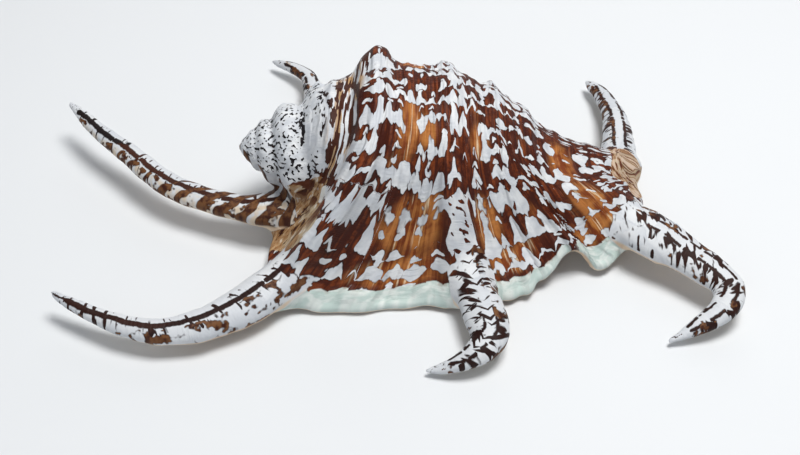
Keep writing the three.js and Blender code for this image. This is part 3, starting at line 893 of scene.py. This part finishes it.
line_sway = 1.5 * noise(along * 0.11, 3.0, 2.0) + 0.5 * noise(along * 0.7, 8.0, 2.0) - 1.0
off_middle = aside - line_sway + 0.5 * (1 - twin)
off_line = (off_middle.size() - LINE_APART * twin * run.rise(0.0, 14.0)).size()
line_half = 0.15 + 0.75 * noise(along * 0.6, off_middle * 0.2, 1.0) + 0.35 * (1 - twin)
gap = (noise(along * 0.3, 9.0, 4.0) + 0.1 * (1 - twin)).rise(0.4, 0.46)
white_line = (off_line - line_half) * 0.5 + (1 - gap) * 0.5 + above.rise(1.0, -0.4) * 0.6 + at_root * 0.5

off_twin = off_middle.size() - 1.6 * twin
bars = noise(along * 0.6 + off_middle * 0.18, off_middle * 0.13, number * 3, 1.5)
bar_end = off_twin - 0.6 - 3.4 * noise(along * 0.3, 12.0, 2.0).rise(0.3, 0.7)
white_bar = (BAR_LEVEL - bars) * 3 + (1 - off_twin.rise(-0.2, 0.5)) * 0.5 + bar_end.rise(0.0, 0.7) * 0.6
white_bar = white_bar + above.rise(0.0, -1.5) * 0.6 + 0.12 * (1 - twin)
white_bar = white_bar + at_root * 0.15 + fourth * run.rise(16.0, 24.0) * 0.25

# Angled strokes: chevrons on the third digit, slanting dashes on the arm of the fourth.
chevrons = noise((along - 0.8 * off_middle.size()) * 0.62, off_middle * 0.16, 17.0, 1.0)
oblique = noise((along + aside) * 0.42, (along - aside) * 0.15, 19.0, 1.0)
oblique = oblique * fourth * run.rise(14.0, 22.0) + chevrons * third * run.rise(6.0, 10.0)
white_oblique = (OBLIQUE_LEVEL - oblique) * 3 + above.rise(0.2, -1.2) * 0.8 + at_root * 0.12

# Patches below the line, and slanting stripes on the first digit that widen towards its root.
below = (-0.3 - off_middle).rise(0.0, 1.2)
patches = noise(along * 0.26, aside * 0.3, above * 0.22, 2.0, 0.6)
white_patch = (PATCH_LEVEL - patches) * 2.6 + (1 - below.most(twin * 0.6)) * 0.7
slant = along * 0.15 - aside * 0.16 + 0.8 * noise(along * 0.15, aside * 0.2, 5.0)
root = run.rise(40.0, 66.0) * first
white_stripe = (0.7 - 0.26 * root - slant.lobe()) * 1.2 + (1 - below.most(root)) * 0.8
white_stripe = white_stripe + (1 - first) + run.rise(30.0, 16.0) * 0.6
in_patch = (white_patch.least(white_stripe) * -1).rise(0.0, 0.12)

white_horn = white_line.least(white_bar).least(white_patch).least(white_stripe).least(white_oblique)
tip = (7.0 - run).rise(0.0, 1.5) * (0.3 + 0.7 * first)
white_horn = white_horn + tip * (0.9 - noise(along * 1.1, aside, 3.0).rise(0.55, 0.65))

# Marks of the spire: dark dots and commas, crowding at the sutures as painted shade in their grooves. The
# body beside it has dashes, which stretch to streaks in the crease.
DOT_LEVEL = 0.6
DOT_GIRTH, DOT_TAPER = 2.9, 0.6  # radius in dots of the circle round the spire: girth x along^taper
DASH_LEVEL = 0.57

coil_turn = coil_sine.angle(coil_cosine) / (2 * math.pi)
in_whorl = coil_along.most(0.05).logarithm(math.e) / math.log(WHORL_STEP)
in_whorl = (in_whorl - coil_turn - SUTURE_PHASE).part()
girth = coil_along**DOT_TAPER * DOT_GIRTH
dots = noise(coil_cosine * girth, coil_sine * girth, coil_along * 0.8, 0.7)
# The dots are the shell's own marks. Their crowding at either end of a whorl is painted shade in the sutures.
white_coil = (DOT_LEVEL - 0.11 * in_whorl.rise(0.12, 0.0) - 0.1 * in_whorl.rise(0.9, 1.0) - dots) * 4
crease = station.rise(2.2, 2.7)
dashes = noise(station * 3.4 + growth * 2, growth * 9 - station, 0.4, 2.0, 0.6)
creased = noise(station * 7.5 + growth * 3.0, growth * 5.5, 8.8, 1.5) + 0.03
white_dashed = (DASH_LEVEL - 0.04 * station.rise(1.6, 2.6) - dashes - (creased - dashes) * crease) * 4

# All marks together. The edge between brown and white is softer on the digits and in the caramel.
white = white_body + (white_dashed - white_body) * dashed
white = white + (white_coil - white) * on_coil
white = white + (white_horn - white) * on_horn.rise(0.25, 0.75)
blur = 0.018 + 0.07 * on_horn + 0.03 * amber * (1 - on_horn)
is_white = white.rise(blur * -1, blur)
depth = (white * -1).rise(0.0, 0.1)

# Brown lime: nearly black at the white's edge, chocolate further in, rusty in streaks along the growth.
BROWN_EDGE, CHOCOLATE, RUST = (30, 5, 2), (62, 20, 7), (122, 56, 20)
CARAMEL_DARK, CARAMEL_PALE, CARAMEL_STREAK = (116, 52, 16), (180, 116, 58), (222, 196, 160)
INK, CREASE_BROWN, HORN_BROWN = (18, 10, 14), (64, 30, 16), (24, 12, 10)
UMBER_DARK, UMBER_PALE = (58, 26, 14), (112, 74, 44)

streaks = noise(station * 9, growth * 1.6, 0.5, 3.0, 0.6)
grain = noise(station * 3, growth * 16, 2.5, 3.0, 0.6)
brown = mixed(depth, BROWN_EDGE, CHOCOLATE)
brown = mixed(grain.rise(0.35, 0.65) * streaks.rise(0.4, 0.62) * depth, brown, RUST)
tone = 0.5 * streaks + 0.5 * noise(station * 2.2, growth * 9, 13.0, 2.0)
gold = mixed(tone.rise(0.4, 0.6), CARAMEL_DARK, CARAMEL_PALE)
gold = mixed(noise(station * 9, growth * 3, 11.0, 1.5).rise(0.6, 0.7), gold, CARAMEL_STREAK)
in_caramel = amber.rise(0.12, 0.6) * (white * -1).rise(-0.04, 0.09) * (1 - on_coil) * (1 - on_horn)
brown = mixed(in_caramel, brown, gold)
brown = mixed(dashed.most(on_coil), brown, mixed(dashed * station.rise(1.7, 2.6), INK, CREASE_BROWN))
brown = mixed(on_horn * 0.8, brown, HORN_BROWN)
umber = mixed(noise(along * 0.5, aside * 0.7, 23.0).rise(0.35, 0.65), UMBER_DARK, UMBER_PALE)
brown = mixed(in_patch * on_horn, brown, umber)

# White lime: bluish, tan in the crease and cream on the first digit's lower side.
PEARL_DARK, PEARL_PALE = (196, 200, 206), (218, 220, 222)
CREASE_TAN, CREAM = (170, 136, 96), (206, 186, 158)

pearl = mixed(noise(station * 2, growth * 9, 7.0, 3.0).rise(0.35, 0.7), PEARL_DARK, PEARL_PALE)
tan_streak = noise(station * 3.3, growth * 4, 12.0).rise(0.5, 0.6) * station.rise(1.9, 2.7)
pearl = mixed(dashed * tan_streak, pearl, CREASE_TAN)
cream = first * (-1.0 - off_middle).rise(0.0, 1.5) * noise(along * 0.4, aside * 0.5, 29.0).rise(0.35, 0.6)
pearl = mixed(on_horn * cream * 0.8, pearl, CREAM)
skin = mixed(is_white, brown, pearl)

# Tan hollows: worn, wrinkled lime in sand colours, streaked with brown. The left one has brown and white
# blotches high up, and the one at the far end is pinker.
SAND_PALE, SAND_DARK, SAND_GREY = (184, 154, 116), (136, 94, 54), (186, 168, 140)
SAND_STREAK, SAND_WHITE = (58, 24, 10), (206, 200, 190)
FAR_PINK, FAR_STREAK = (208, 182, 160), (98, 46, 24)
BLOTCH_BROWN, BLOTCH_WHITE = (78, 38, 18), (212, 212, 208)

far_end = station.rise(11.5, 12.5)
wear = noise(station * 5.2, growth * 9, 6.0, 3.5, 0.65)
wear = wear + (noise(station * 7, growth * 4, 16.0, 2.5, 0.6) - 0.01 - wear) * far_end
sand = mixed(wear.rise(0.35, 0.6), SAND_PALE, SAND_DARK)
sand = mixed(noise(station * 1.1, growth * 7, 2.2).rise(0.5, 0.62), sand, SAND_GREY)
sand = mixed(wear.rise(0.56, 0.6), sand, SAND_STREAK)
sand = mixed(wear.rise(0.41, 0.38), sand, SAND_WHITE)
sand = mixed(far_end * wear.rise(0.52, 0.42) * 0.8, sand, FAR_PINK)
sand = mixed(far_end * wear.rise(0.52, 0.58), sand, FAR_STREAK)
high_up = growth.rise(0.8, 0.56) * (1 - far_end)
blotches = noise(station * 2.2, growth * 7, 27.0, 1.5)
sand = mixed(high_up * blotches.rise(0.5, 0.54), sand, BLOTCH_BROWN)
sand = mixed(high_up * blotches.rise(0.41, 0.38), sand, BLOTCH_WHITE)
sandy = (tan + 0.9 * noise(station * 2.5, growth * 9, 4.4) - 0.45).rise(0.45, 0.55)
skin = mixed(sandy * (1 - on_horn.rise(0.5, 0.6)), skin, sand)

# Rim of the lip: the newest lime, pale green-white, with brown stains where the pattern ends in small teeth.
MINT_DARK, MINT_PALE, STAIN = (182, 198, 193), (208, 215, 211), (150, 110, 82)

teeth = 0.02 * (chance(lane, 3.3) - 0.5) + 0.014 * (1 - lobe)
on_rim = (past_rim - teeth).rise(-0.004, 0.004) * (1 - on_horn.rise(0.3, 0.7)) * tan.rise(0.6, 0.4)
mint = mixed(noise(station * 3, growth * 30, 3.0).rise(0.4, 0.65), MINT_DARK, MINT_PALE)
stain = past_rim.rise(0.035, 0.0) * noise(station * 3.5, growth * 18, 14.0).rise(0.5, 0.62)
mint = mixed(stain * 0.55, mint, STAIN)
skin = mixed(on_rim, skin, mint)

# Underside: cream and flesh glaze, paler towards the digits' tips, with a faint seam along each digit, and
# the brown lining of the mouth.
GLAZE_PALE, GLAZE_DARK, TIP_GLAZE = (222, 206, 184), (206, 176, 146), (208, 208, 198)
SEAM, LINING = (158, 124, 92), (150, 88, 56)

digit_here = on_horn.rise(0.4, 0.8)
beneath = under.rise(0.35, 0.75) * (1 - digit_here) + digit_here * above.rise(-0.5, -1.8) * (1 - on_coil)
glaze = mixed(noise(station * 0.7, growth * 2, 8.0).rise(0.35, 0.65), GLAZE_PALE, GLAZE_DARK)
glaze = mixed(digit_here * run.rise(50.0, 8.0) * 0.7, glaze, TIP_GLAZE)
seam = (aside.size() - 0.3 - 0.3 * noise(along * 0.5, 2.0)).rise(0.3, 0.0) * above.rise(-0.8, -1.6)
seam = seam * digit_here * run.rise(44.0, 20.0) * noise(along * 0.2, 5.5).rise(0.35, 0.65)
glaze = mixed(seam * 0.6, glaze, SEAM)
skin = mixed(beneath, skin, glaze)
skin = mixed(in_mouth, skin, LINING)
links.new(skin, shader.inputs["Base Color"])

# Polish and relief: dull, duller in patches, over cords, lines of growth and fine scratches. The heights are
# shares of the bump's distance in metres.
BUMP_DISTANCE = 0.0008
BUMP_STRENGTH = 0.9

gloss = 0.34 + 0.22 * noise(station * 2, growth * 10, 4.0, 3.0) + 0.1 * (1 - is_white)
links.new(gloss.socket, shader.inputs["Roughness"])
shader.inputs["Specular IOR Level"].default_value = 0.2

cord_height = (sway * CORDS).cords() * 0.22 + (sway * FINE_CORDS).cords() * 0.08
growth_lines = noise(station * 0.9, growth * 70, 1.0, 3.0, 0.65)
horn_lines = noise(along * 1.3, aside * 0.25, above * 0.25, 3.0, 0.65)
scratches = noise(station * 6, growth * 50, 9.0, 4.0, 0.7)
height = (cord_height + growth_lines * 0.4) * (1 - on_horn.most(on_coil)) * (1 - under)
height = height + horn_lines * 0.5 * on_horn + dots * 0.3 * on_coil + scratches * 0.18
bump = nodes.new("ShaderNodeBump")
bump.inputs["Strength"].default_value = BUMP_STRENGTH
bump.inputs["Distance"].default_value = BUMP_DISTANCE
links.new(height.socket, bump.inputs["Height"])
links.new(bump.outputs["Normal"], shader.inputs["Normal"])

mesh.materials.clear()
mesh.materials.append(lime)
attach(shell, "root")
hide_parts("shell")
